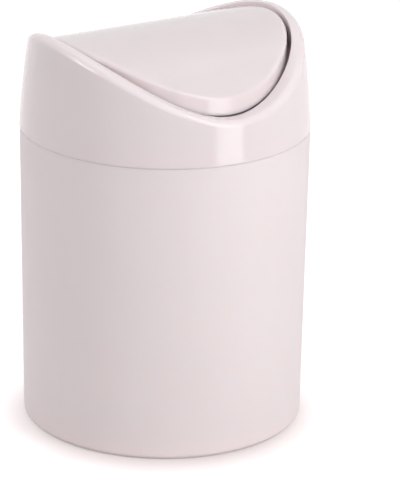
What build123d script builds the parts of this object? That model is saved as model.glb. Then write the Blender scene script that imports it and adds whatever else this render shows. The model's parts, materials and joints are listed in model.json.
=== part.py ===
from build123d import *
import os
from math import cos, hypot, sin, sqrt, tan, tau

# A countertop trash can with a swing lid, in three moulded pieces that come apart by hand:
# the bucket, the hood that sits on its mouth, and the flap that swings inside the hood.
# Millimetres. +Z is up and the origin is on the table, under the middle of the base.
# The flap turns about a line along X, from ear to ear of the hood. The front is -Y.

# ---- driving dimensions ----
wall = 1.6                    # thickness of the bucket's side, the hood's side and the flap
edge_break = 0.4              # flat on the outer edges that meet at the seam

# bucket: a cup with straight sides that flare a little
bucket_height = 136.7         # table to the seam
mouth_radius = 65.0           # outside, at the seam
base_taper = 1.5              # how much narrower it is at the table, on the radius
base_edge_radius = 2.0        # outer corner of the base
floor_thickness = 2.2
floor_corner_radius = 5.0     # inner corner of the floor
foot_ring_width = 6.0         # ring that the can stands on
base_recess = 1.6             # how far the base is raised inside the foot ring
gate_radius = 4.0             # dimple round the moulding gate, under the base
gate_depth = 0.5

# hood side: follows one long arc, widest where that would pass below the seam
hood_swell = 1.0              # that widest radius, over the bucket's mouth
hood_arc_radius = 430.0
hood_widest_drop = 24.7       # how far below the seam that widest place lies
hood_bend_rise = 15.0         # seam to where the side's two straight stretches meet
ear_rise = 46.9               # seam to the rim's top at the ears

# hood spigot, which drops into the bucket's mouth
spigot_clearance = 0.3        # to the bucket, on the radius
spigot_depth = 8.0
spigot_wall = 1.6
spigot_lead = 0.6             # chamfer at its lower end
shoulder_rise = 5.0           # height over which it runs out into the hood's side

# hood rim: level from inside to outside, arched from ear to ear
rim_inset = 9.0               # from the mouth's radius in to the hole that the flap swings in
rim_dip = 28.0                # how much lower the rim is at the front than at the ears
rim_edge_radius = 3.0         # outer edge
rim_inner_edge_radius = 0.8
rim_roof = 2.6                # thickness, straight down
lip_wall = 1.4                # wall that hangs from the rim's inner edge
lip_depth = 10.0              # rim's top to the lip's lower edge

# flap: a dish whose top is part of a cylinder along X
flap_gap = 3.3                # round the flap, to the lip
flap_sink = 1.3               # rim's top at the ears to the flap's top
flap_dip = 22.9               # how much lower the flap's front edge is than its middle
flap_edge_radius = 3.0
flap_depth = 9.5              # height of its side wall
flap_tilt = 4.0               # degrees that its front hangs above level
rib_wall = 1.5
rib_depth = 4.0
rib_offset = 24.0             # from the middle to each of the two ribs that run front to back

# hinge: two pins on the flap, in two sockets in the lip that are open below
pivot_drop = 7.8              # flap's top to the axis
pin_radius = 2.4
pin_clearance = 0.08          # all round the pin
pin_end_clearance = 0.3
pin_end_chamfer = 0.6
pin_root_radius = 3.2         # boss that carries the pin, inside the flap
pin_root_length = 5.0
socket_boss_radius = 4.6
socket_floor = 2.2            # hood left outside the pin's end
ear_pad_width = 16.0          # stretch of the lip that is carried down round the socket
ear_pad_drop = 8.5            # axis to the pad's lower edge
ear_web = 1.2                 # webs from the pad's two edges out to the hood's side
snap_squeeze = 0.25           # how much narrower than the pin the slot's neck is, each side
snap_neck = 1.4               # length of the neck, below the socket
snap_flare = 1.6              # how much wider than the neck the slot's mouth is, each side

# A rounded edge is cut as a flat that touches the round, because fillets this long would
# take thousands of facets. The hood's rim, in plain view, gets three flats in all.
first_flat = 2 - sqrt(2)                      # leg of a flat at 45 degrees, for a radius of 1
second_flat = tan(tau / 16) - tan(tau / 32)   # leg of the ones cut on its two edges

rim_points = 16               # that the rim's closed curve runs through
rim_curve_start = tau / 8     # clear of the revolved faces' seams
near = 0.01                   # how close to its place an edge is looked for

# ---- worked out from them ----
base_radius = mouth_radius - base_taper
hood_widest_radius = mouth_radius + hood_swell
hood_widest_height = bucket_height - hood_widest_drop
hood_bend_height = bucket_height + hood_bend_rise
spigot_radius = mouth_radius - wall - spigot_clearance
shoulder_height = bucket_height + shoulder_rise
opening_radius = mouth_radius - rim_inset
channel_radius = opening_radius + lip_wall
rim_arch_radius = (opening_radius**2 + rim_dip**2) / (2 * rim_dip)
rim_peak = bucket_height + ear_rise
above_rim = rim_peak + 2 * rim_edge_radius
flap_radius = opening_radius - flap_gap
flap_arch_radius = (flap_radius**2 + flap_dip**2) / (2 * flap_dip)
flap_peak = rim_peak - flap_sink
pivot_height = flap_peak - pivot_drop


def arch(distance, radius, peak):
    """Height of an arch at a distance from its middle."""
    return peak - radius + sqrt(radius**2 - distance**2)


def hood_side(height, inset=0.0):
    """Radius of the hood's side at a height, moved inwards by an inset."""
    return arch(height - hood_widest_height, hood_arc_radius, hood_widest_radius) - inset


def rim_sheet(drop):
    """The rim's top as a thin sheet, lowered by a drop.

    Each line from the axis outwards is level, at the height of the arch over the hole's edge.
    """
    curves = []
    for radius in (opening_radius / 2, mouth_radius + rim_inset):
        points = []
        for step in range(rim_points):
            turn = rim_curve_start + tau * step / rim_points
            height = arch(opening_radius * sin(turn), rim_arch_radius, rim_peak - drop)
            points.append((radius * cos(turn), radius * sin(turn), height))
        curves.append(Edge.make_spline(points, periodic=True))
    return Face.make_surface_from_curves(*curves)


def cut_above_rim(drop):
    """Takes away all that stands above the rim's top, lowered by a drop."""
    extrude(rim_sheet(drop), amount=above_rim, dir=(0, 0, 1), mode=Mode.SUBTRACT)


def rings_at(part, height, radius):
    """The level round edges at a height with a radius."""
    rings = part.edges().filter_by(GeomType.CIRCLE)
    rings = rings.filter_by(lambda edge: abs(edge.center().Z - height) < near)
    return rings.filter_by(lambda edge: abs(edge.radius - radius) < near)


def rim_edges(part, low, high):
    """The long edges of the rim's top that lie between two distances from the axis."""
    top = part.edges().filter_by(lambda edge: edge.bounding_box().max.Z > rim_peak - rim_roof / 2)
    top = top.filter_by(lambda edge: edge.length > opening_radius)
    return top.filter_by(lambda edge: low < hypot((edge @ 0.5).X, (edge @ 0.5).Y) < high)


def flap_band(plane, top, bottom, half_width):
    """Side view of a layer of the flap, between two depths below its top."""
    with BuildSketch(plane) as view:
        with BuildLine():
            for depth in (top, bottom):
                ThreePointArc(
                    (-half_width, arch(half_width, flap_arch_radius, flap_peak) - depth),
                    (0, flap_peak - depth),
                    (half_width, arch(half_width, flap_arch_radius, flap_peak) - depth),
                )
            for side in (-half_width, half_width):
                edge = arch(side, flap_arch_radius, flap_peak)
                Line((side, edge - top), (side, edge - bottom))
        make_face()
    return view.sketch


# ---- bucket ----
foot_radius = base_radius - base_edge_radius
inner_base_radius = base_radius - wall
floor_top = base_recess + floor_thickness

with BuildPart() as bucket:
    with BuildSketch(Plane.XZ):
        with BuildLine():
            Polyline(
                (0, base_recess),
                (foot_radius - foot_ring_width - base_recess, base_recess),
                (foot_radius - foot_ring_width, 0),
                (base_radius, 0),
                (mouth_radius, bucket_height),
                (mouth_radius - wall, bucket_height),
                (inner_base_radius, floor_top),
                (0, floor_top),
                (0, base_recess),
            )
        make_face()
    revolve(axis=Axis.Z)
    chamfer(rings_at(bucket, 0, base_radius), first_flat * base_edge_radius)
    chamfer(rings_at(bucket, floor_top, inner_base_radius), first_flat * floor_corner_radius)
    chamfer(rings_at(bucket, bucket_height, mouth_radius), edge_break)
    with BuildSketch(Plane.XY.offset(base_recess)):
        Circle(gate_radius)
    extrude(amount=gate_depth, mode=Mode.SUBTRACT)

# ---- hood ----
socket_end = hood_side(pivot_height) - socket_floor
pad_bottom = pivot_height - ear_pad_drop
pad_top = pivot_height + socket_boss_radius

# the space between the hood's side and the lip
with BuildPart() as channel:
    with BuildSketch(Plane.XZ):
        with BuildLine():
            Polyline(
                (hood_side(shoulder_height, wall), shoulder_height),
                (hood_side(rim_peak, wall), rim_peak),
                (channel_radius, rim_peak),
                (channel_radius, shoulder_height),
                (hood_side(shoulder_height, wall), shoulder_height),
            )
        make_face()
    revolve(axis=Axis.Z)
    cut_above_rim(rim_roof)

# the space below the lip
with BuildPart() as throat:
    with BuildSketch(Plane.XY.offset(shoulder_height)):
        Circle(channel_radius + lip_wall / 4)
        Circle(opening_radius - lip_wall, mode=Mode.SUBTRACT)
    extrude(amount=above_rim - shoulder_height)
    cut_above_rim(lip_depth)

# what carries the sockets: a pad of the lip, a boss and two webs at each ear
with BuildPart() as ears:
    with BuildSketch(Plane.XY.offset(pad_bottom)):
        Circle(channel_radius)
        Rectangle(2 * channel_radius, ear_pad_width, mode=Mode.INTERSECT)
    extrude(amount=pad_top - pad_bottom)
    with BuildSketch(Plane.YZ):
        with Locations((0, pivot_height)):
            Circle(socket_boss_radius)
        with Locations(*[(side * (ear_pad_width - ear_web) / 2, pad_bottom) for side in (-1, 1)]):
            Rectangle(ear_web, pad_top - pad_bottom, align=(Align.CENTER, Align.MIN))
    extrude(amount=hood_side(pad_top, wall / 2), both=True)
    with BuildSketch(Plane.XY.offset(pad_bottom)):
        Circle(opening_radius)
    extrude(amount=pad_top - pad_bottom, mode=Mode.SUBTRACT)

# the sockets, as a bar along X with a slot below it that is narrower than the pin
with BuildPart() as sockets:
    neck = pin_radius - snap_squeeze
    neck_end = pivot_height - pin_radius - snap_neck
    with BuildSketch(Plane.YZ):
        with Locations((0, pivot_height)):
            Circle(pin_radius + pin_clearance)
        with BuildLine():
            Polyline(
                (-neck, pivot_height),
                (-neck, neck_end),
                (-neck - snap_flare, pad_bottom),
                (neck + snap_flare, pad_bottom),
                (neck, neck_end),
                (neck, pivot_height),
                (-neck, pivot_height),
            )
        make_face()
    extrude(amount=socket_end, both=True)

with BuildPart() as hood:
    with BuildSketch(Plane.XZ):
        with BuildLine():
            Polyline(
                (hood_side(bucket_height), bucket_height),
                (hood_side(hood_bend_height), hood_bend_height),
                (hood_side(above_rim), above_rim),
                (opening_radius, above_rim),
                (opening_radius, shoulder_height),
                (hood_side(shoulder_height, wall), shoulder_height),
                (spigot_radius - spigot_wall, bucket_height),
                (spigot_radius - spigot_wall, bucket_height - spigot_depth),
                (spigot_radius, bucket_height - spigot_depth),
                (spigot_radius, bucket_height),
                (hood_side(bucket_height), bucket_height),
            )
        make_face()
    revolve(axis=Axis.Z)
    cut_above_rim(0)
    add(channel.part, mode=Mode.SUBTRACT)
    add(throat.part, mode=Mode.SUBTRACT)
    add(ears.part)
    add(sockets.part, mode=Mode.SUBTRACT)
    chamfer(rings_at(hood, bucket_height, hood_side(bucket_height)), edge_break)
    chamfer(rings_at(hood, bucket_height - spigot_depth, spigot_radius), spigot_lead)
    chamfer(rim_edges(hood, 0, channel_radius), first_flat * rim_inner_edge_radius)
    chamfer(rim_edges(hood, channel_radius, mouth_radius), first_flat * rim_edge_radius)
    flat_edges = hood.edges(Select.LAST).filter_by(lambda edge: edge.length > opening_radius)
    chamfer(flat_edges, second_flat * rim_edge_radius)

# ---- swing flap ----
inner_flap_radius = flap_radius - wall
pin_end = socket_end - pin_end_clearance
below_flap = flap_peak - flap_dip - 2 * flap_depth

# the hollow under the flap's top, round the ribs left in it
with BuildPart() as hollow:
    layer = flap_band(Plane.YZ, wall, 2 * flap_depth, flap_radius)
    extrude(layer, amount=flap_radius, both=True)
    with BuildSketch(Plane.XY.offset(below_flap)):
        Circle(inner_flap_radius)
    extrude(amount=flap_peak - below_flap, mode=Mode.INTERSECT)
    for side in (-rib_offset, rib_offset):
        layer = flap_band(Plane.YZ.offset(side), 0, wall + rib_depth, flap_radius)
        extrude(layer, amount=rib_wall / 2, both=True, mode=Mode.SUBTRACT)
    with BuildSketch(Plane.XZ):
        with Locations((0, flap_peak)):
            Rectangle(2 * flap_radius, wall + rib_depth, align=(Align.CENTER, Align.MAX))
    extrude(amount=rib_wall / 2, both=True, mode=Mode.SUBTRACT)

with BuildPart() as level_flap:
    layer = flap_band(Plane.YZ, 0, flap_depth, opening_radius)
    extrude(layer, amount=opening_radius, both=True)
    with BuildSketch(Plane.XY.offset(below_flap)):
        Circle(flap_radius)
    extrude(amount=flap_peak - below_flap, mode=Mode.INTERSECT)
    top_face = level_flap.faces().sort_by(Axis.Z)[-1]
    chamfer(top_face.edges(), first_flat * flap_edge_radius)
    add(hollow.part, mode=Mode.SUBTRACT)
    for side in (-1, 1):
        with BuildSketch(Plane.YZ.offset(side * (inner_flap_radius - pin_root_length))):
            with Locations((0, pivot_height)):
                Circle(pin_root_radius)
        extrude(amount=side * (pin_root_length + wall / 2))
        with BuildSketch(Plane.YZ.offset(side * inner_flap_radius)):
            with Locations((0, pivot_height)):
                Circle(pin_radius)
        extrude(amount=side * (pin_end - inner_flap_radius))
    tips = level_flap.edges().filter_by(GeomType.CIRCLE).group_by(Axis.X)
    chamfer([tips[0], tips[-1]], pin_end_chamfer)

# hung in its pins as it stands in use, with the front a little up
with BuildPart() as swing_flap:
    pivot = Axis((0, 0, pivot_height), (1, 0, 0))
    add(level_flap.part.rotate(pivot, -flap_tilt))

# ---- written files ----
bucket.part.label = "bucket"
hood.part.label = "hood"
swing_flap.part.label = "swing_flap"

os.makedirs("parts", exist_ok=True)
export_step(bucket.part, "parts/bucket.step")
export_step(hood.part, "parts/hood.step")
export_step(swing_flap.part, "parts/swing_flap.step")
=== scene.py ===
"""A countertop trash can with a swing lid: its finished surfaces, studio and camera.

Lengths are metres unless a name or comment says millimetres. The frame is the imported
model's: +Z up, the origin on the table under the middle of the base, the front at -Y and
the flap's axis along X.
"""
import json
import logging
import math
from dataclasses import dataclass, field
from enum import Enum
from typing import ClassVar

import bmesh
import bpy
import numpy as np
from mathutils import Matrix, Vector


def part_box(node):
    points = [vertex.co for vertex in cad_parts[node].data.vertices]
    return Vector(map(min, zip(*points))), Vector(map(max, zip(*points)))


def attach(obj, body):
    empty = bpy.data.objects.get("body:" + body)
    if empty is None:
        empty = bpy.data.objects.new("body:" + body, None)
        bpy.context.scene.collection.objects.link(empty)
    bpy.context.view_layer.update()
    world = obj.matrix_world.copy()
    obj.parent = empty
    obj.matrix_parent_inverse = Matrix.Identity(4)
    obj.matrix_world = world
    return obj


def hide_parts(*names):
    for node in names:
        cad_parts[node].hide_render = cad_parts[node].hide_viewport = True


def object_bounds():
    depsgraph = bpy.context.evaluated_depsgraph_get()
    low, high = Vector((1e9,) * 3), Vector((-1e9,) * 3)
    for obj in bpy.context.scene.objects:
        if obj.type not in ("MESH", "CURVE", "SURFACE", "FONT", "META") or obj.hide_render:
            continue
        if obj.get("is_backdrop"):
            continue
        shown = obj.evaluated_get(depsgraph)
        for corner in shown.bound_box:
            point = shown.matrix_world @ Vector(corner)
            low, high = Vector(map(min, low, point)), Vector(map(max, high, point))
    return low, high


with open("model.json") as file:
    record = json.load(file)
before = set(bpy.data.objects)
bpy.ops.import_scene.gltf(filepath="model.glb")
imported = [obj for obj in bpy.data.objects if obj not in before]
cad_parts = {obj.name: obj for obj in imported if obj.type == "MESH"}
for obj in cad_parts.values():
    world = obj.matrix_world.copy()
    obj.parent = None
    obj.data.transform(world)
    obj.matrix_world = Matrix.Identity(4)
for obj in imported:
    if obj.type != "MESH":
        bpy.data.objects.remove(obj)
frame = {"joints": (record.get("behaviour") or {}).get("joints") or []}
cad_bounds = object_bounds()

log = logging.getLogger("trash_can")

MM = 0.001
QUARTER = math.pi / 2
ROUND = 2 * math.pi
SMOOTH_UP_TO = math.radians(32)     # edges that turn more than this stay crisp
DOT = 0.4 * MM                      # radius where a fan closes the middle of a profile
TINY = 1e-9                         # stands in for 0 under a fraction
WHITE = (1.0, 1.0, 1.0, 1.0)


# ---------------------------------------------------------------- numbers and meshes


def fractions(count: int, support: float = 0.0) -> np.ndarray:
    """Shares of the way along a stretch, from 0 up to but not including 1.

    Args:
        count: how many even steps the stretch has.
        support: share at which an extra row is put near each end, so that the shading
            beside a rounded edge stays as flat as the surface is. 0 leaves it out.

    Returns:
        The rising shares, k / count for k from 0, with the extra ones sorted in.
    """
    even = np.arange(count) / count
    if support <= 0:
        return even
    return np.unique(np.concatenate([even, [support, 1 - support]]))


def stretch(start: tuple, end: tuple, count: int, support: float = 0.0) -> np.ndarray:
    """A straight stretch of a profile: start + share x (end - start).

    Args:
        start: radius and height where it starts, each one number or one per column.
        end: radius and height where it ends.
        count: number of steps.
        support: as in fractions.

    Returns:
        Rows x 2 x columns.
    """
    ends = [np.stack(np.broadcast_arrays(*np.atleast_1d(*point))) for point in (start, end)]
    first, last = np.broadcast_arrays(*ends)
    share = fractions(count, support)[:, None, None]
    return first + share * (last - first)


def bend(centre: tuple, radii: tuple, angles: tuple, count: int) -> np.ndarray:
    """A rounded stretch: centre + (radius x cos angle, height radius x sin angle).

    Args:
        centre: radius and height of the round's centre.
        radii: its half width and half height.
        angles: first and last angle in radians, from outwards turning upwards.
        count: number of steps.

    Returns:
        Rows x 2 x columns.
    """
    first, last = (np.atleast_1d(np.asarray(angle, float)) for angle in angles)
    turn = first + fractions(count)[:, None] * (last - first)
    across = np.asarray(centre[0]) + np.asarray(radii[0]) * np.cos(turn)
    up = np.asarray(centre[1]) + np.asarray(radii[1]) * np.sin(turn)
    across, up = np.broadcast_arrays(across, up)
    return np.stack([across, up], axis=1)


def turned(profile: list[np.ndarray], angles: np.ndarray) -> np.ndarray:
    """Carries a profile round the Z axis: (r cos a, r sin a, z).

    Args:
        profile: stretches of rows x 2 x columns, or x 1 where all columns are alike.
        angles: the angle of each column.

    Returns:
        Rows x columns x 3.
    """
    rows = np.concatenate([np.broadcast_to(part, (len(part), 2, angles.size)) for part in profile])
    return np.stack([rows[:, 0] * np.cos(angles), rows[:, 0] * np.sin(angles), rows[:, 1]], axis=-1)


class Ends(Enum):
    """How a shell's first and last rows are closed."""

    JOINED = "the last row meets the first"
    CAPPED = "a fan of triangles closes each end"


def shell_faces(rows: int, columns: int, ends: Ends) -> tuple[np.ndarray, np.ndarray]:
    """Faces of a grid whose last column meets its first.

    Face (i, j) joins points (i, j), (i, j + 1), (i + 1, j + 1) and (i + 1, j), and a fan
    joins each pair of neighbours in an end row to one more point.

    Args:
        rows: number of rows.
        columns: number of columns.
        ends: how the rows' ends are closed.

    Returns:
        The four corners of each quad, and the three corners of each triangle.
    """
    lanes = rows if ends is Ends.JOINED else rows - 1
    i, j = np.meshgrid(np.arange(lanes), np.arange(columns), indexing="ij")
    below, beside = (i + 1) % rows, (j + 1) % columns
    quads = np.stack([i * columns + j, i * columns + beside,
                      below * columns + beside, below * columns + j], axis=-1).reshape(-1, 4)
    if ends is Ends.JOINED:
        return quads, np.empty((0, 3), int)
    near, after = np.arange(columns), (np.arange(columns) + 1) % columns
    far = (rows - 1) * columns
    first = np.stack([after, near, np.full(columns, rows * columns)], axis=-1)
    last = np.stack([far + near, far + after, np.full(columns, rows * columns + 1)], axis=-1)
    return quads, np.concatenate([first, last])


@dataclass
class Moulding:
    """One moulded piece, gathered from closed shells into one mesh."""

    name: str
    points: list[np.ndarray] = field(default_factory=list)
    quads: list[np.ndarray] = field(default_factory=list)
    triangles: list[np.ndarray] = field(default_factory=list)
    count: int = 0

    def add_shell(self, grid: np.ndarray, ends: Ends) -> None:
        """Adds a closed shell.

        Args:
            grid: rows x columns x 3 points, the columns closing on themselves.
            ends: how the first and last rows are closed.
        """
        rows, columns = grid.shape[:2]
        quads, triangles = shell_faces(rows, columns, ends)
        points = grid.reshape(-1, 3)
        if ends is Ends.CAPPED:
            points = np.concatenate([points, grid[[0, -1]].mean(axis=1)])
        self.points.append(points)
        self.quads.append(quads + self.count)
        self.triangles.append(triangles + self.count)
        self.count += len(points)

    def turn_about_x(self, height: float, angle: float) -> None:
        """Turns all that was added about a line along X.

        Each point keeps its x, and its y and height over the line turn by the angle.

        Args:
            height: height of the line.
            angle: in radians, towards +Z from +Y.
        """
        cos, sin = math.cos(angle), math.sin(angle)
        turn = np.array([[1, 0, 0], [0, cos, -sin], [0, sin, cos]])
        pivot = np.array([0, 0, height])
        self.points = [(part - pivot) @ turn.T + pivot for part in self.points]

    def build(self) -> bpy.types.Object:
        """Makes the mesh object, with its faces outwards and its edges smooth or crisp.

        Returns:
            The new object, at the origin.
        """
        points = np.concatenate(self.points).astype(np.float32)
        quads, triangles = np.concatenate(self.quads), np.concatenate(self.triangles)
        corners = np.concatenate([quads.ravel(), triangles.ravel()]).astype(np.int32)
        sizes = np.repeat([4, 3], [len(quads), len(triangles)]).astype(np.int32)
        mesh = bpy.data.meshes.new(self.name)
        mesh.vertices.add(len(points))
        mesh.vertices.foreach_set("co", points.ravel())
        mesh.loops.add(len(corners))
        mesh.loops.foreach_set("vertex_index", corners)
        mesh.polygons.add(len(sizes))
        mesh.polygons.foreach_set("loop_start", (np.cumsum(sizes) - sizes).astype(np.int32))
        mesh.polygons.foreach_set("use_smooth", np.ones(len(sizes), bool))
        mesh.update(calc_edges=True)
        mesh.validate()
        work = bmesh.new()
        work.from_mesh(mesh)
        bmesh.ops.recalc_face_normals(work, faces=work.faces)
        work.to_mesh(mesh)
        work.free()
        mesh.set_sharp_from_angle(angle=SMOOTH_UP_TO)
        piece = bpy.data.objects.new(self.name, mesh)
        bpy.context.scene.collection.objects.link(piece)
        return piece


# ---------------------------------------------------------------- colours and finishes


def linear(colour: str) -> tuple[float, float, float, float]:
    """Turns an sRGB hex colour into linear light.

    A channel c up to 0.04045 becomes c / 12.92, and a higher one ((c + 0.055) / 1.055)^2.4.

    Args:
        colour: such as "#E8DCDF".

    Returns:
        Red, green, blue and an alpha of 1.
    """
    channels = np.array([int(colour[k:k + 2], 16) for k in (1, 3, 5)]) / 255
    light = np.where(channels <= 0.04045, channels / 12.92, ((channels + 0.055) / 1.055) ** 2.4)
    return (*(float(c) for c in light), 1.0)


def add_node(tree: bpy.types.NodeTree, kind: str, inputs: dict | None = None,
             **settings: object) -> bpy.types.Node:
    """Adds a node with its settings and links.

    Args:
        tree: the node tree.
        kind: the node's type, such as "ShaderNodeBump".
        inputs: input name or number to its value, or to the socket that feeds it.
        settings: the node's own properties.

    Returns:
        The new node.
    """
    node = tree.nodes.new(kind)
    for name, value in settings.items():
        setattr(node, name, value)
    for name, value in (inputs or {}).items():
        if isinstance(value, bpy.types.NodeSocket):
            tree.links.new(value, node.inputs[name])
        else:
            node.inputs[name].default_value = value
    return node


def new_tree(name: str) -> tuple[bpy.types.Material, bpy.types.NodeTree]:
    """Makes a material with an empty node tree.

    Args:
        name: the material's name.

    Returns:
        The material and its tree.
    """
    material = bpy.data.materials.new(name)
    material.use_nodes = True
    material.node_tree.nodes.clear()
    return material, material.node_tree


@dataclass(frozen=True)
class MouldedPolypropylene:
    """Opaque tinted polypropylene, injection moulded in a steel tool.

    The tool's polish decides the look. A blasted tool leaves a satin skin that spreads the
    lamps into long soft gradients. A polished one leaves a gloss that mirrors them, with the
    faint swell of the melt in it. The pigment is never quite even, and a little light
    travels through the wall and softens the shadows.
    """

    name: str
    base: str                       # sRGB hex
    flow: str                       # sRGB hex of the paler streaks that the melt's flow leaves
    roughness: float
    roughness_spread: float         # how much rougher it gets from place to place
    grain_mm: float                 # size of the tool's grain, or of the gloss's swell
    grain_depth_mm: float
    grain_octaves: float = 2.0
    cloud_mm: float = 26.0          # size of the pigment's clouds
    cloud_octaves: float = 3.0
    cloud_fade: float = 0.55        # strength of each finer octave, as a share of the last
    gate_pull: float = 0.35         # a cloud's width over its length up the wall
    patch_fineness: float = 2.2     # how much finer the patches of roughness are than the clouds
    patch_octaves: float = 5.0
    patch_span: tuple[float, float] = (0.35, 0.70)      # noise that gives none and all of the spread
    refraction: float = 1.49        # index, typical of polypropylene
    depth_mm: float = 4.0           # how far light travels inside
    depth_weight: float = 0.55      # share of the scattered light that travels there
    depth_shares: tuple[float, float, float] = (1.0, 0.8, 0.8)      # of it, for red, green and blue

    def build(self) -> bpy.types.Material:
        """Makes the material.

        Returns:
            The material, on Object coordinates throughout.
        """
        material, tree = new_tree(self.name)
        place = add_node(tree, "ShaderNodeTexCoord").outputs["Object"]
        drawn = add_node(tree, "ShaderNodeMapping", {"Vector": place, "Scale": (1, 1, self.gate_pull)})
        clouds = add_node(tree, "ShaderNodeTexNoise", {
            "Vector": drawn.outputs["Vector"], "Scale": 1 / (self.cloud_mm * MM),
            "Detail": self.cloud_octaves, "Roughness": self.cloud_fade})
        tint = add_node(tree, "ShaderNodeMix", {
            "Factor": clouds.outputs["Fac"], "A": linear(self.base), "B": linear(self.flow)},
            data_type="RGBA")
        patches = add_node(tree, "ShaderNodeTexNoise", {
            "Vector": place, "Scale": self.patch_fineness / (self.cloud_mm * MM),
            "Detail": self.patch_octaves})
        least, most = self.patch_span
        rough = add_node(tree, "ShaderNodeMapRange", {
            "Value": patches.outputs["Fac"], "From Min": least, "From Max": most,
            "To Min": self.roughness, "To Max": self.roughness + self.roughness_spread})
        grain = add_node(tree, "ShaderNodeTexNoise", {
            "Vector": place, "Scale": 1 / (self.grain_mm * MM), "Detail": self.grain_octaves})
        relief = add_node(tree, "ShaderNodeBump", {
            "Height": grain.outputs["Fac"], "Strength": 1.0, "Distance": self.grain_depth_mm * MM})
        skin = add_node(tree, "ShaderNodeBsdfPrincipled", {
            "Base Color": tint.outputs["Result"], "Roughness": rough.outputs["Result"],
            "Normal": relief.outputs["Normal"], "IOR": self.refraction, "Metallic": 0.0,
            "Subsurface Weight": self.depth_weight, "Subsurface Radius": self.depth_shares,
            "Subsurface Scale": self.depth_mm * MM})
        add_node(tree, "ShaderNodeOutputMaterial", {"Surface": skin.outputs["BSDF"]})
        return material


@dataclass(frozen=True)
class PaintedTable:
    """A white lacquered board: even, matt, and seen as plain white but for the can's shadow, which is
    partly cast by the lamps and partly painted shade.

    Its own colour is what it throws back on the can. What the camera and mirrors see of it is lifted to
    white by a glow, and the glow is weakest by the can, round a middle set off to the front left: painted
    shade that deepens the lamps' shadow there and stretches it that way.
    """

    name: str = "white_lacquered_board"
    base: str = "#B9ACAC"           # sRGB hex
    fleck: str = "#BFB3B3"          # sRGB hex of its faint flecks
    fleck_mm: float = 25.0
    fleck_octaves: float = 3.0
    near_lift: float = 0.32         # painted shade: the glow up to the near distance from the painted shadow's middle
    far_lift: float = 0.80          # and from the far one on
    near: float = 56 * MM
    far: float = 78 * MM
    painted_shadow_middle: tuple[float, float, float] = (-4.7 * MM, -7.7 * MM, 0.0)     # middle of the painted shadow, to the front left

    def build(self) -> bpy.types.Material:
        """Makes the material: a matt board, and a lift for camera, mirror and clear rays, painted weaker by
        the can as a shadow.

        Returns:
            The material.
        """
        material, tree = new_tree(self.name)
        place = add_node(tree, "ShaderNodeTexCoord").outputs["Object"]
        speckle = add_node(tree, "ShaderNodeTexNoise", {
            "Vector": place, "Scale": 1 / (self.fleck_mm * MM), "Detail": self.fleck_octaves})
        tint = add_node(tree, "ShaderNodeMix", {
            "Factor": speckle.outputs["Fac"], "A": linear(self.base), "B": linear(self.fleck)},
            data_type="RGBA")
        matt = add_node(tree, "ShaderNodeBsdfDiffuse", {"Color": tint.outputs["Result"]})
        seen = seen_directly(tree)
        away = add_node(tree, "ShaderNodeVectorMath", {
            0: place, 1: self.painted_shadow_middle}, operation="DISTANCE").outputs["Value"]
        # the glow grows with the distance from the painted shadow's middle, so the board is painted darker
        # by the can
        rise = add_node(tree, "ShaderNodeMapRange", {
            "Value": away, "From Min": self.near, "From Max": self.far,
            "To Min": self.near_lift, "To Max": self.far_lift})
        glow = add_node(tree, "ShaderNodeEmission", {
            "Color": WHITE, "Strength": rise.outputs["Result"]})
        lit = add_node(tree, "ShaderNodeAddShader", {0: matt.outputs["BSDF"], 1: glow.outputs["Emission"]})
        mixed = add_node(tree, "ShaderNodeMixShader", {
            0: seen, 1: matt.outputs["BSDF"], 2: lit.outputs["Shader"]})
        add_node(tree, "ShaderNodeOutputMaterial", {"Surface": mixed.outputs["Shader"]})
        return material


def seen_directly(tree: bpy.types.NodeTree) -> bpy.types.NodeSocket:
    """1 for rays from the camera, a mirror or a clear body, and 0 for those that light things.

    Args:
        tree: the node tree.

    Returns:
        The socket that gives it: the greatest of the three kinds of ray.
    """
    path = add_node(tree, "ShaderNodeLightPath")
    both = add_node(tree, "ShaderNodeMath", {
        0: path.outputs["Is Camera Ray"], 1: path.outputs["Is Glossy Ray"]}, operation="MAXIMUM")
    return add_node(tree, "ShaderNodeMath", {
        0: both.outputs[0], 1: path.outputs["Is Transmission Ray"]}, operation="MAXIMUM").outputs[0]


class Finish(Enum):
    """The can's finishes, one for each of the record's material slots."""

    SATIN = MouldedPolypropylene(
        name="polypropylene_blasted_tool", base="#EDE0E2", flow="#F0E5E6",
        roughness=0.46, roughness_spread=0.07,
        # the real grain is about 0.1 mm and can't show at this size, so it is drawn coarser
        grain_mm=0.7, grain_depth_mm=0.010)
    GLOSS = MouldedPolypropylene(
        name="polypropylene_polished_tool", base="#E6DADC", flow="#E9DEE0",
        roughness=0.10, roughness_spread=0.05, grain_mm=7.0, grain_depth_mm=0.012)
    FLAP = MouldedPolypropylene(
        name="polypropylene_polished_flap", base="#E3D4D6", flow="#E6D8DA",
        roughness=0.07, roughness_spread=0.05, grain_mm=8.0, grain_depth_mm=0.012)


# ---------------------------------------------------------------- the can's shared shape


def joint_place(name: str) -> list[float]:
    """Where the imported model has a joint, in metres."""
    return next(joint["pos_m"] for joint in frame["joints"] if joint["name"] == name)


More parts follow.
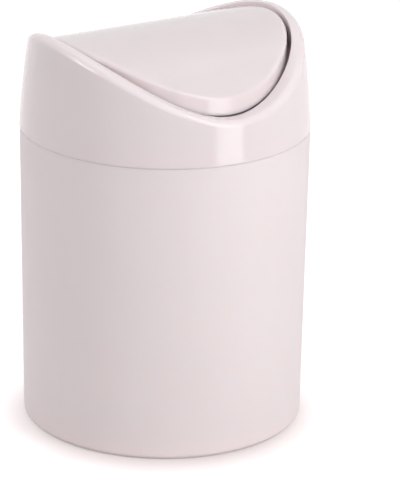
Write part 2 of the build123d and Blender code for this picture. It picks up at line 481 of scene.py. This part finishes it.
@dataclass(frozen=True)
class CanShape:
    """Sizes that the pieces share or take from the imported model, and the hood's curves."""

    seam_height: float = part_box("bucket")[1].z
    mouth_radius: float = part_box("bucket")[1].x
    rim_peak: float = round(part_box("hood")[1].z, 4)     # to a tenth of a millimetre
    pivot_height: float = joint_place("flap_swing")[2]
    pin_end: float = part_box("swing_flap")[1].x
    wall: float = 1.6 * MM
    hood_swell: float = 1.0 * MM            # widest radius of the hood's arc, over the mouth
    hood_arc_radius: float = 430.0 * MM
    hood_widest_drop: float = 24.7 * MM     # of that widest place under the seam
    rim_inset: float = 9.6 * MM             # from the mouth's radius in to the hole
    rim_dip: float = 28.0 * MM              # of the rim, from the ears to the front

    @property
    def opening_radius(self) -> float:
        """Radius of the hole that the flap swings in."""
        return self.mouth_radius - self.rim_inset

    def hood_side(self, height: np.ndarray | float) -> np.ndarray | float:
        """Radius of the hood's outside.

        It is a circle's arc: the widest radius, less the arc's radius, plus the root of the
        arc's radius squared less the squared height over its widest place.

        Args:
            height: one height, or an array of them.

        Returns:
            The radius at each height.
        """
        over = height - (self.seam_height - self.hood_widest_drop)
        widest = self.mouth_radius + self.hood_swell
        return widest - self.hood_arc_radius + np.sqrt(self.hood_arc_radius ** 2 - over ** 2)

    def rim_height(self, angles: np.ndarray) -> np.ndarray:
        """Height of the rim, which follows an arc from ear to ear.

        With y the hole's edge at that angle and R the arc's radius, it is the peak less R
        plus the root of R squared less y squared.

        Args:
            angles: angles round the can, from +X.

        Returns:
            The height at each.
        """
        radius = (self.opening_radius ** 2 + self.rim_dip ** 2) / (2 * self.rim_dip)
        across = self.opening_radius * np.sin(angles)
        return self.rim_peak - radius + np.sqrt(radius ** 2 - across ** 2)

    def rim_stretch(self, angles: np.ndarray) -> np.ndarray:
        """How much taller the rim's rounded edge is, cut upright, where the rim slopes.

        It is the root of 1 plus the squared slope along the side.

        Args:
            angles: angles round the can.

        Returns:
            The factor at each, 1 where the rim is level.
        """
        slope = np.gradient(self.rim_height(angles), angles) / self.hood_side(self.rim_height(angles))
        return np.sqrt(1 + slope ** 2)


# ---------------------------------------------------------------- pieces


@dataclass(frozen=True)
class MouldedPiece:
    """What the can's three mouldings have in common."""

    shape: CanShape
    finish: ClassVar[Finish]
    slot: ClassVar[str]         # the record's material slot
    body: ClassVar[str]         # the CAD body that the piece rides on
    node: ClassVar[str]         # the CAD node that it stands for

    def build(self) -> bpy.types.Object:
        """Makes the piece's mesh object."""
        raise NotImplementedError

    def dress(self, piece: bpy.types.Object) -> None:
        """Gives the piece its finish, and its place among the CAD's bodies and nodes.

        Args:
            piece: the mesh object.
        """
        piece.data.materials.append(self.finish.value.build())
        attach(piece, self.body)
        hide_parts(self.node)


@dataclass(frozen=True)
class Bucket(MouldedPiece):
    """The cup: straight flared side, foot ring, raised base with the gate's dimple."""

    finish = Finish.SATIN
    slot = "satin_plastic"
    body = "bucket_body"
    node = "bucket"

    base_taper: float = 1.5 * MM            # how much narrower the base is, on the radius
    base_edge_radius: float = 2.0 * MM
    mouth_edge_radius: float = 0.4 * MM
    floor_thickness: float = 2.2 * MM
    floor_corner_radius: float = 5.0 * MM
    foot_ring_width: float = 6.0 * MM
    base_recess: float = 1.6 * MM           # of the base over the foot ring
    gate_radius: float = 4.0 * MM
    gate_depth: float = 0.5 * MM
    columns: int = 288
    outer_rows: int = 60                    # up the outer side
    inner_rows: int = 50                    # down the inner side
    flat_rows: int = 16                     # across the base, and across the floor
    round_rows: int = 14                    # round the base's edge and the floor's corner
    mouth_rows: int = 6                     # round each edge of the mouth

    def outside(self, height: float) -> float:
        """Radius of the outer side: the base's, plus the taper times the share of the height."""
        base_radius = self.shape.mouth_radius - self.base_taper
        return base_radius + self.base_taper * height / self.shape.seam_height

    def profile(self) -> list[np.ndarray]:
        """The closed profile, from the middle of the base out, up and back to the floor.

        The side leans by the taper over the height, and each round that meets it starts or
        ends at that lean.

        Returns:
            Its stretches.
        """
        top, mouth, wall = self.shape.seam_height, self.shape.mouth_radius, self.shape.wall
        lean = math.atan(self.base_taper / top)
        edge, lip, corner = self.base_edge_radius, self.mouth_edge_radius, self.floor_corner_radius
        gate, recess = self.gate_radius, self.base_recess
        gate_top, floor = recess + self.gate_depth, recess + self.floor_thickness
        ring = self.outside(0) - edge - self.foot_ring_width
        foot, side_top = self.outside(edge), self.outside(top - lip)
        inner_mouth, inner_foot = mouth - wall, self.outside(floor + corner) - wall
        floor_edge = self.outside(floor) - wall - corner
        return [
            stretch((DOT, gate_top), (gate, gate_top), 4),
            stretch((gate, gate_top), (gate, recess), 2),
            stretch((gate, recess), (ring - recess, recess), self.flat_rows, support=0.01),
            stretch((ring - recess, recess), (ring, 0), 3, support=0.1),
            stretch((ring, 0), (foot - edge, 0), 4, support=0.05),
            bend((foot - edge, edge), (edge, edge), (-QUARTER, -lean), self.round_rows),
            stretch((foot, edge), (side_top, top - lip), self.outer_rows, support=0.002),
            bend((side_top - lip, top - lip), (lip, lip), (-lean, QUARTER), self.mouth_rows),
            stretch((side_top - lip, top), (inner_mouth + lip, top), 2, support=0.2),
            bend((inner_mouth + lip, top - lip), (lip, lip), (QUARTER, 2 * QUARTER), self.mouth_rows),
            stretch((inner_mouth, top - lip), (inner_foot, floor + corner), self.inner_rows, support=0.002),
            bend((floor_edge, floor + corner), (corner, corner), (0, -QUARTER), self.round_rows),
            stretch((floor_edge, floor), (DOT, floor), self.flat_rows, support=0.01),
        ]

    def build(self) -> bpy.types.Object:
        """Makes the bucket's mesh.

        Returns:
            The piece.
        """
        angles = np.arange(self.columns) / self.columns * ROUND
        moulding = Moulding("bucket_moulding")
        moulding.add_shell(turned(self.profile(), angles), Ends.CAPPED)
        return moulding.build()


@dataclass(frozen=True)
class Hood(MouldedPiece):
    """The ring over the bucket: side, saddle-shaped rim, lip, spigot and two pin sockets."""

    finish = Finish.GLOSS
    slot = "gloss_plastic"
    body = "hood_body"
    node = "hood"

    seam_edge_radius: float = 0.4 * MM
    rim_edge_radius: float = 3.0 * MM       # front and back
    ear_edge_radius: float = 3.4 * MM       # and over the ears
    inner_edge_radius: float = 0.5 * MM
    crown_slope: float = 0.06               # of the rim's top where it meets the inner round
    rim_roof: float = 2.6 * MM              # thickness of the rim under its top
    lip_wall: float = 1.6 * MM
    lip_depth: float = 10.0 * MM            # from the rim's top to the lip's lower edge
    spigot_clearance: float = 0.3 * MM
    spigot_depth: float = 8.0 * MM
    spigot_wall: float = 1.6 * MM
    spigot_lead: float = 0.6 * MM           # flat on its lower outer edge
    shoulder_rise: float = 5.0 * MM         # over the seam, where the inside turns in to the spigot
    pad_width: float = 16.0 * MM            # of the stretch of lip that holds a socket
    pad_drop: float = 8.5 * MM              # from the pin's axis to the pad's lower edge
    pad_step: float = 0.05 * MM             # between the two columns at the pad's side edge
    boss_radius: float = 4.6 * MM
    boss_foot: float = 0.4 * MM             # thickness of the boss's ends, beside the neck
    pin_radius: float = 2.4 * MM
    pin_clearance: float = 0.08 * MM
    web: float = 1.2 * MM                   # thickness
    snap_squeeze: float = 0.25 * MM         # how much the neck is narrower than the pin, each side
    snap_neck: float = 1.4 * MM             # from under the pin to the neck's lower end
    snap_flare: float = 1.6 * MM            # how much wider the mouth is than the neck, each side
    side_columns: int = 150                 # from pad to pad
    ear_columns: int = 24                   # across a pad
    outer_rows: int = 40                    # up the outer side
    inner_rows: int = 16                    # down the inner side
    rim_rows: int = 16                      # round the rim's outer edge
    crown_rows: int = 10                    # across its top, and round its inner edge
    seam_rows: int = 6                      # round the edge at the seam
    socket_points: int = 41                 # over the pin
    web_points: int = 9

    @property
    def channel_radius(self) -> float:
        """Radius of the lip's hidden side."""
        return self.shape.opening_radius + self.lip_wall

    @property
    def spigot_radius(self) -> float:
        """Outer radius of the spigot, which is loose in the bucket's mouth."""
        return self.shape.mouth_radius - self.shape.wall - self.spigot_clearance

    def columns(self) -> tuple[np.ndarray, np.ndarray]:
        """Angles of the columns, and which of them lie in front of an ear's pad.

        Two columns stand close together at each side edge of a pad, because the lip's lower
        edge steps up there to the pad.

        Returns:
            The angles, and True for a column on a pad.
        """
        half = math.asin(self.pad_width / 2 / self.shape.opening_radius)
        step = self.pad_step / self.shape.opening_radius
        angles, on_pad = [], []
        for ear in (0.0, math.pi):
            pad = np.linspace(ear - half, ear + half, self.ear_columns)
            side = np.linspace(ear + half + step, ear + math.pi - half - step, self.side_columns)
            angles += [pad, side]
            on_pad += [np.ones(pad.size, bool), np.zeros(side.size, bool)]
        return np.concatenate(angles), np.concatenate(on_pad)

    def profile(self, angles: np.ndarray, on_pad: np.ndarray) -> list[np.ndarray]:
        """The closed section at each angle, from the seam out, over the rim and back.

        The rim's outer round touches the leaning side and the rim's top line. Cut upright it
        is an ellipse, as much taller than wide as rim_stretch says. From there the top falls
        to the hole with the square of the distance, into the inner round.

        Args:
            angles: the columns' angles.
            on_pad: which of them lie in front of a pad.

        Returns:
            Its stretches.
        """
        shape, wall = self.shape, self.shape.wall
        seam, rim, tall = shape.seam_height, shape.rim_height(angles), shape.rim_stretch(angles)
        edge = self.rim_edge_radius + (self.ear_edge_radius - self.rim_edge_radius) * np.cos(angles) ** 2
        small, inner, lead = self.seam_edge_radius, self.inner_edge_radius, self.spigot_lead
        hole, channel, spigot = shape.opening_radius, self.channel_radius, self.spigot_radius
        # the side, up to where the rim's outer round touches it
        centre_height = rim - edge * tall
        lean = np.arcsin((centre_height - seam + shape.hood_widest_drop) / shape.hood_arc_radius)
        touch = centre_height + edge * tall * np.sin(lean)
        centre = shape.hood_side(touch) - edge * np.cos(lean)
        low = seam + small
        side_heights = low + fractions(self.outer_rows, support=0.004)[:, None] * (touch - low)
        side = np.stack([shape.hood_side(side_heights), side_heights], axis=1)
        # the crown, from the outer round to the inner one
        fall = math.atan(self.crown_slope)
        crown_end = hole + inner * (1 - math.sin(fall))
        inward = fractions(self.crown_rows)[:, None]
        drop = self.crown_slope / 2 * (centre - crown_end)
        crown = np.stack([centre - inward * (centre - crown_end), rim - drop * inward ** 2], axis=1)
        inner_height = rim - drop - inner * math.cos(fall)
        # the hidden inside, down to the shoulder over the spigot
        lip_end = np.where(on_pad, shape.pivot_height + self.boss_radius, rim - self.lip_depth)
        roof, shoulder = rim - self.rim_roof, seam + self.shoulder_rise
        inner_heights = roof + fractions(self.inner_rows)[:, None] * (shoulder - roof)
        inner_side = np.stack([shape.hood_side(inner_heights) - wall, inner_heights], axis=1)
        seam_radius, shoulder_radius = shape.hood_side(low), shape.hood_side(shoulder) - wall
        bore, spigot_end = spigot - self.spigot_wall, seam - self.spigot_depth
        return [
            stretch((spigot, seam), (seam_radius - small, seam), 3, support=0.1),
            bend((seam_radius - small, low), (small, small), (-QUARTER, 0), self.seam_rows),
            side,
            bend((centre, centre_height), (edge, edge * tall), (lean, QUARTER), self.rim_rows),
            crown,
            bend((hole + inner, inner_height), (inner, inner), (QUARTER + fall, 2 * QUARTER),
                 self.crown_rows),
            stretch((hole, inner_height), (hole, lip_end), 8, support=0.02),
            stretch((hole, lip_end), (channel, lip_end), 2),
            stretch((channel, lip_end), (channel, roof), 6),
            stretch((channel, roof), (shape.hood_side(roof) - wall, roof), 3),
            inner_side,
            stretch((shoulder_radius, shoulder), (bore, seam), 4),
            stretch((bore, seam), (bore, spigot_end), 4),
            stretch((bore, spigot_end), (spigot - lead, spigot_end), 2),
            stretch((spigot - lead, spigot_end), (spigot, spigot_end + lead), 2),
            stretch((spigot, spigot_end + lead), (spigot, seam), 4),
        ]

    def slot_paths(self) -> tuple[np.ndarray, np.ndarray, np.ndarray]:
        """The socket's edge, and what bounds the pad and the boss round it, seen along X.

        The socket runs from its mouth up one side of the neck, over the pin and down the
        other side. The pad's and the boss's outlines have a point for each of its points:
        the socket's point carried out to the pad's rectangle, or to the boss's circle.

        Returns:
            Points of y and height for the socket, for the pad, and for the boss's inner and
            outer edge together.
        """
        radius = self.pin_radius + self.pin_clearance
        neck = self.pin_radius - self.snap_squeeze
        low = -self.pad_drop
        neck_low = -self.pin_radius - self.snap_neck
        opened = math.pi - math.asin(neck / radius)
        turn = np.linspace(-opened, opened, self.socket_points)
        over = np.stack([radius * np.sin(turn), radius * np.cos(turn)], axis=-1)
        left = np.array([[-neck - self.snap_flare, low], [-neck, neck_low]])
        right = left[::-1] * [-1, 1]
        socket = np.concatenate([left, over, right])
        half, top = self.pad_width / 2, self.boss_radius
        reach = np.minimum(half / np.maximum(np.abs(over[:, 0]), TINY),
                           top / np.maximum(over[:, 1], TINY))
        framed = np.where(over[:, 1:] > 0, over * reach[:, None],
                          np.stack([np.sign(over[:, 0]) * half, over[:, 1]], axis=-1))
        pad_left = np.array([[-half, low], [-half, neck_low]])
        pad = np.concatenate([pad_left, framed, pad_left[::-1] * [-1, 1]])
        bossed = over * (self.boss_radius / radius)
        foot = np.array([[self.boss_foot, 0]])
        boss_end = np.array([[-neck, -math.sqrt(self.boss_radius ** 2 - neck ** 2)]]) - foot
        boss_outer = np.concatenate([boss_end, bossed, boss_end * [-1, 1]])
        boss_inner = np.concatenate([boss_end + foot, over, boss_end * [-1, 1] - foot])
        lift = np.array([0, self.shape.pivot_height])
        return socket + lift, pad + lift, np.stack([boss_inner + lift, boss_outer + lift])

    def add_ear(self, moulding: Moulding, side: int) -> None:
        """Adds an ear's pad, boss and webs, the pad's faces following the hole's circle.

        A point of y lies at x = the root of radius squared less y squared.

        Args:
            moulding: the hood.
            side: 1 for the ear at +X, -1 for the one at -X.
        """
        shape, hole, channel = self.shape, self.shape.opening_radius, self.channel_radius
        socket, pad, (boss_inner, boss_outer) = self.slot_paths()

        def at_radius(path: np.ndarray, radius: float) -> np.ndarray:
            """Places a path of y and height on an upright cylinder."""
            return np.column_stack([side * np.sqrt(radius ** 2 - path[:, 0] ** 2), path])

        plate = [at_radius(path, radius) for path, radius in
                 ((socket, hole), (pad, hole), (pad, channel), (socket, channel))]
        moulding.add_shell(np.stack(plate, axis=1), Ends.CAPPED)
        reach = shape.hood_side(shape.pivot_height + self.boss_radius) - shape.wall / 2
        start = np.full(len(boss_inner), side * (channel - self.lip_wall / 2))
        end = np.full(len(boss_inner), side * reach)
        boss = [np.column_stack([x, path]) for path, x in
                ((boss_inner, start), (boss_outer, start), (boss_outer, end), (boss_inner, end))]
        moulding.add_shell(np.stack(boss, axis=1), Ends.CAPPED)
        for edge in (-1, 1):
            middle = edge * (self.pad_width - self.web) / 2
            heights = shape.pivot_height + np.linspace(-self.pad_drop, self.boss_radius, self.web_points)
            outer = shape.hood_side(heights) - shape.wall / 2
            inner = np.full(self.web_points, channel - self.lip_wall / 2)
            corners = [np.column_stack([side * np.sqrt(radius ** 2 - middle ** 2),
                                        np.full(self.web_points, middle + offset * self.web / 2), heights])
                       for radius, offset in ((inner, -1), (inner, 1), (outer, 1), (outer, -1))]
            moulding.add_shell(np.stack(corners, axis=1), Ends.CAPPED)

    def build(self) -> bpy.types.Object:
        """Makes the hood's mesh: the ring, then both ears.

        Returns:
            The piece.
        """
        angles, on_pad = self.columns()
        moulding = Moulding("hood_moulding")
        moulding.add_shell(turned(self.profile(angles, on_pad), angles), Ends.JOINED)
        for side in (-1, 1):
            self.add_ear(moulding, side)
        return moulding.build()


@dataclass(frozen=True)
class SwingFlap(MouldedPiece):
    """The flap: a dish with an arched top, ribs under it, and a pin at each end."""

    finish = Finish.FLAP
    slot = "flap_plastic"
    body = "flap_body"
    node = "swing_flap"

    gap: float = 2.4 * MM               # to the hood, front and back
    ear_reach: float = 1.4 * MM         # how much closer it comes to the hood at the pins
    sink: float = 1.3 * MM              # of its top under the rim's peak
    dip: float = 22.9 * MM              # of its top, from the middle to the front edge
    edge_radius: float = 2.4 * MM
    depth: float = 7.5 * MM             # of its side wall, front and back
    ear_depth: float = 9.5 * MM         # and at the pins
    tilt: float = math.radians(4)       # how far its front hangs up
    rib_wall: float = 1.5 * MM
    rib_depth: float = 4.0 * MM
    rib_offset: float = 24.0 * MM
    rib_root: float = 0.4 * MM          # how far a rib runs into the top
    pin_radius: float = 2.4 * MM
    pin_chamfer: float = 0.6 * MM
    root_radius: float = 3.2 * MM       # of the boss that carries the pin, inside the flap
    root_length: float = 5.0 * MM
    root_chamfer: float = 0.3 * MM
    columns: int = 320
    pin_columns: int = 48
    top_rows: int = 48                  # across the top, from the edge to the middle
    under_rows: int = 40                # and under it
    edge_rows: int = 16                 # round its edge
    arched_points: int = 41             # along a rib that follows the arch
    straight_points: int = 9            # and along the one that doesn't
    settling_passes: int = 6            # until the round's start stays where it is

    @property
    def radius(self) -> float:
        """Outer radius of the flap, front and back."""
        return self.shape.opening_radius - self.gap

    def reach(self, angles: np.ndarray) -> np.ndarray:
        """Its outer radius at each angle: a little more at the ears, by cos to the sixth."""
        return self.radius + self.ear_reach * np.cos(angles) ** 6

    @property
    def arch_radius(self) -> float:
        """Radius of the top's arc: (radius squared + dip squared) / (2 x dip)."""
        return (self.radius ** 2 + self.dip ** 2) / (2 * self.dip)

    def arch(self, across: np.ndarray | float) -> np.ndarray | float:
        """Height of the flap's top over a distance from the middle along Y.

        It is the peak less R plus the root of R squared less the distance squared.

        Args:
            across: one distance, or an array of them.

        Returns:
            The height at each.
        """
        peak = self.shape.rim_peak - self.sink
        return peak - self.arch_radius + np.sqrt(self.arch_radius ** 2 - across ** 2)

    def top_edge(self, angles: np.ndarray) -> tuple[np.ndarray, np.ndarray]:
        """Where the top's round begins at each angle.

        The round touches the upright side and the sloping top, so its start is the round's
        centre plus its radius times the outward part of the top's normal there. That part
        depends on the start, and settles in a few passes.

        Args:
            angles: the columns' angles.

        Returns:
            The radius of the start, and the top's slope there as an angle below level.
        """
        centre = self.reach(angles) - self.edge_radius
        start = centre
        for _ in range(self.settling_passes):
            across = start * np.sin(angles)
            slope = np.arctan(across * np.sin(angles) / np.sqrt(self.arch_radius ** 2 - across ** 2))
            start = centre + self.edge_radius * np.sin(slope)
        return start, slope

    def profile(self, angles: np.ndarray) -> list[np.ndarray]:
        """The closed section at each angle, from under the middle out, up and back.

        The underside lies the wall's thickness under the arched top. The side is upright, and
        as deep as its depth at the front and back, growing to the ears by cos to the fourth.

        Args:
            angles: the columns' angles.

        Returns:
            Its stretches.
        """
        wall, turn = self.shape.wall, np.sin(angles)
        start, slope = self.top_edge(angles)
        centre_height = self.arch(start * turn) - self.edge_radius * np.cos(slope)
        outside = self.reach(angles)
        inside = outside - wall

        def layer(radii: np.ndarray, depth: float) -> np.ndarray:
            """Rows at these radii, a depth under the arched top."""
            return np.stack([np.broadcast_to(radii, (len(radii), angles.size)),
                             self.arch(radii * turn) - depth], axis=1)

        under = layer(DOT + fractions(self.under_rows)[:, None] * (inside - DOT), wall)
        top = layer(start - fractions(self.top_rows, support=0.004)[:, None] * (start - DOT), 0.0)
        depth = self.depth + (self.ear_depth - self.depth) * np.cos(angles) ** 4
        outer_low = self.arch(outside * turn) - depth
        inner_low = self.arch(inside * turn) - depth
        return [
            under,
            stretch((inside, self.arch(inside * turn) - wall), (inside, inner_low), 6, support=0.03),
            stretch((inside, inner_low), (outside, outer_low), 2),
            stretch((outside, outer_low), (outside, centre_height), 8, support=0.03),
            bend((outside - self.edge_radius, centre_height),
                 (self.edge_radius, self.edge_radius), (0.0, QUARTER - slope), self.edge_rows),
            top,
        ]

    def add_ribs(self, moulding: Moulding) -> None:
        """Adds the ribs: two along Y that follow the arch, and a straight one along X.

        A rib's section is a rectangle, from a little inside the top down to the rib's depth.

        Args:
            moulding: the flap.
        """
        inside, half = self.radius - self.shape.wall / 2, self.rib_wall / 2
        top, bottom = self.shape.wall - self.rib_root, self.shape.wall + self.rib_depth
        section = ((-half, top), (half, top), (half, bottom), (-half, bottom))

        def add_rib(path: np.ndarray, aside: tuple[int, int, int]) -> None:
            """Adds a rib along a path on the flap's top, its width lying in the direction aside."""
            corners = [path + shift * np.array(aside) - [0, 0, depth] for shift, depth in section]
            moulding.add_shell(np.stack(corners, axis=1), Ends.CAPPED)

        for offset in (-self.rib_offset, self.rib_offset):
            reach = math.sqrt(inside ** 2 - offset ** 2)
            across = np.linspace(-reach, reach, self.arched_points)
            add_rib(np.column_stack([np.full(across.size, offset), across, self.arch(across)]), (1, 0, 0))
        along = np.linspace(-1, 1, self.straight_points) * (inside + self.ear_reach)
        level = np.zeros(along.size)
        add_rib(np.column_stack([along, level, level + self.arch(0.0)]), (0, 1, 0))

    def add_pin(self, moulding: Moulding, side: int) -> None:
        """Adds a pin with its root: a profile of radius over x, turned about the pivot.

        Args:
            moulding: the flap.
            side: 1 or -1, the ear that it points to.
        """
        inside, end = self.radius + self.ear_reach - self.shape.wall, self.shape.pin_end
        start, root_end = inside - self.root_length, inside + self.shape.wall / 2
        thin, thick = self.pin_radius, self.root_radius
        stations = np.array([
            (start, thick - self.root_chamfer), (start + self.root_chamfer, thick),
            (root_end, thick), (root_end, thin),
            (end - self.pin_chamfer, thin), (end, thin - self.pin_chamfer)])
        turn = np.arange(self.pin_columns) / self.pin_columns * ROUND
        x = np.broadcast_to(side * stations[:, :1], (len(stations), turn.size))
        moulding.add_shell(np.stack([
            x, stations[:, 1:] * np.cos(turn),
            self.shape.pivot_height + stations[:, 1:] * np.sin(turn)], axis=-1), Ends.CAPPED)

    def build(self) -> bpy.types.Object:
        """Makes the flap's mesh, level, and then hangs it with its front up.

        Returns:
            The piece.
        """
        angles = np.arange(self.columns) / self.columns * ROUND
        moulding = Moulding("flap_moulding")
        moulding.add_shell(turned(self.profile(angles), angles), Ends.CAPPED)
        self.add_ribs(moulding)
        for side in (-1, 1):
            self.add_pin(moulding, side)
        moulding.turn_about_x(self.shape.pivot_height, -self.tilt)
        return moulding.build()


# ---------------------------------------------------------------- studio


@dataclass(frozen=True)
class Softbox:
    """A flat soft lamp that faces the can, and shows in its gloss but not to the camera."""

    name: str
    azimuth: float              # degrees from the front, towards +X
    elevation: float            # degrees over the level, seen from the point that it faces
    distance: float             # from that point
    aim_height: float           # height of that point, on the can's axis
    width: float
    height: float
    radiance: float             # 1 shows as white in a mirror, and adds to the room behind it
    only_gloss: bool = False    # shows in gloss, and lights nothing else

    def build(self) -> None:
        """Makes the lamp, facing back along (sin a cos e, -cos a cos e, sin e).

        With a the azimuth and e the elevation. Its power is its radiance x pi x its area.
        """
        a, e = math.radians(self.azimuth), math.radians(self.elevation)
        away = np.array([math.sin(a) * math.cos(e), -math.cos(a) * math.cos(e), math.sin(e)])
        lamp = bpy.data.lights.new(self.name, "AREA")
        lamp.shape, lamp.size, lamp.size_y = "RECTANGLE", self.width, self.height
        lamp.energy = self.radiance * math.pi * self.width * self.height
        side = np.array([math.cos(a), math.sin(a), 0])
        turn = np.column_stack([side, np.cross(away, side), away])
        holder = bpy.data.objects.new(self.name, lamp)
        place = away * self.distance + [0, 0, self.aim_height]
        holder.matrix_world = Matrix.Translation(place) @ Matrix(turn.tolist()).to_4x4()
        holder.visible_camera = False
        holder.visible_diffuse = not self.only_gloss
        bpy.context.scene.collection.objects.link(holder)


@dataclass(frozen=True)
class Studio:
    """White table, pale room, softboxes and the camera.

    The key and the narrower lamp over it give the upright bar of light in the gloss, and the
    left card gives the thin bright line along the rim's left edge.
    """

    room: float = 0.61                                  # the room's light on the can
    table_rings: tuple[float, ...] = (0.02, 0.5, 3.0)   # radii of the table top's rings of points
    table_columns: int = 96
    softboxes: tuple[Softbox, ...] = (
        # name, azimuth, elevation, distance, aim height, width, height and radiance
        Softbox("key_softbox", 17.2, 0.0, 0.55, 0.265, 0.21, 0.51, 3.35),
        Softbox("key_top_softbox", 25.0, 0.0, 0.55, 0.72, 0.14, 0.40, 3.35),
        Softbox("front_softbox", -14.0, 31.0, 1.5, 0.1, 1.8, 1.2, 0.54),
        Softbox("overhead_softbox", 148.0, 78.0, 1.3, 0.1, 1.0, 1.0, 0.3),
        Softbox("high_softbox", 30.0, 54.0, 1.2, 0.17, 0.36, 0.36, 1.6),
        Softbox("left_softbox", -106.0, 25.0, 1.2, 0.17, 0.90, 0.70, 1.5),
        Softbox("left_card", -95.0, 17.0, 1.2, 0.17, 0.50, 0.55, 4.6, only_gloss=True),
    )

    def build_room(self) -> None:
        """Sets the world: the room's own level for light, and plain white where it is seen."""
        world = bpy.data.worlds.new("pale_room")
        bpy.context.scene.world = world
        world.use_nodes = True
        tree = world.node_tree
        tree.nodes.clear()
        lit = add_node(tree, "ShaderNodeBackground", {"Color": WHITE, "Strength": self.room})
        white = add_node(tree, "ShaderNodeBackground", {"Color": WHITE, "Strength": 1.0})
        mixed = add_node(tree, "ShaderNodeMixShader", {
            0: seen_directly(tree), 1: lit.outputs["Background"], 2: white.outputs["Background"]})
        add_node(tree, "ShaderNodeOutputWorld", {"Surface": mixed.outputs["Shader"]})

    def build_table(self) -> None:
        """Makes the round table top: rings of points, (r cos a, r sin a, 0), round a fan."""
        angles = np.arange(self.table_columns) / self.table_columns * ROUND
        radii = np.array(self.table_rings)[:, None]
        grid = np.stack([radii * np.cos(angles), radii * np.sin(angles), 0 * radii * angles], axis=-1)
        quads, triangles = shell_faces(radii.size, angles.size, Ends.CAPPED)
        mesh = bpy.data.meshes.new("table_top")
        points = np.concatenate([grid.reshape(-1, 3), [[0, 0, 0]]])
        # rows run outwards, so each face is turned over to look up, and the outer end stays open
        faces = quads[:, ::-1].tolist() + triangles[:angles.size, ::-1].tolist()
        mesh.from_pydata(points.tolist(), [], faces)
        mesh.update()
        table = bpy.data.objects.new("table_top", mesh)
        bpy.context.scene.collection.objects.link(table)
        table.data.materials.append(PaintedTable().build())
        table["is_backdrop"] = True

    def build(self) -> None:
        """Builds the room, the table, the softboxes and the camera."""
        self.build_room()
        self.build_table()
        for softbox in self.softboxes:
            softbox.build()
        Camera().build()


@dataclass(frozen=True)
class Camera:
    """The photograph's viewpoint, found from the seam, the base and the sides."""

    distance: float = 1.377114          # from the can's axis, level
    height: float = 0.588353
    azimuth: float = math.radians(-31.64)
    pitch: float = 0.354354             # down
    yaw: float = 0.0119288
    roll: float = 0.0159508
    focal_pixels: float = 3239.064
    image_height: int = 488             # in pixels, the image's longer side
    sensor: float = 36.0                # along that side, in millimetres
    nearest: float = 0.05               # what lies closer isn't drawn
    furthest: float = 30.0              # nor what lies beyond

    def build(self) -> None:
        """Makes the camera and gives it to the scene.

        It looks along (sin yaw cos pitch, cos yaw cos pitch, -sin pitch), its right and up
        are turned by the roll, and it all then turns about Z by the azimuth.
        """
        along = np.array([math.sin(self.yaw) * math.cos(self.pitch),
                          math.cos(self.yaw) * math.cos(self.pitch), -math.sin(self.pitch)])
        right = np.array([math.cos(self.yaw), -math.sin(self.yaw), 0])
        up = np.cross(right, along)
        rolled_right = math.cos(self.roll) * right + math.sin(self.roll) * up
        rolled_up = -math.sin(self.roll) * right + math.cos(self.roll) * up
        data = bpy.data.cameras.new("camera")
        data.sensor_width, data.sensor_fit = self.sensor, "AUTO"
        data.lens = self.focal_pixels * self.sensor / self.image_height
        data.clip_start, data.clip_end = self.nearest, self.furthest
        camera = bpy.data.objects.new("camera", data)
        pose = Matrix(np.column_stack([rolled_right, rolled_up, -along]).tolist()).to_4x4()
        pose.translation = (0, -self.distance, self.height)
        camera.matrix_world = Matrix.Rotation(self.azimuth, 4, "Z") @ pose
        bpy.context.scene.collection.objects.link(camera)
        bpy.context.scene.camera = camera


def write_sizes() -> None:
    boxes = {"cad": cad_bounds, "visual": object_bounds()}
    {name: [list(corner) for corner in box] for name, box in boxes.items()}


def main() -> None:
    """Builds the can, dresses it, and sets it in the studio."""
    logging.basicConfig(level=logging.INFO, format="%(message)s")
    bpy.context.scene.view_settings.view_transform = "Standard"
    shape = CanShape()
    makers: tuple[MouldedPiece, ...] = (Bucket(shape), Hood(shape), SwingFlap(shape))
    for maker in makers:
        piece = maker.build()
        maker.dress(piece)
        log.info("%s: %d faces", piece.name, len(piece.data.polygons))
    Studio().build()
    write_sizes()


if __name__ == "__main__":
    main()
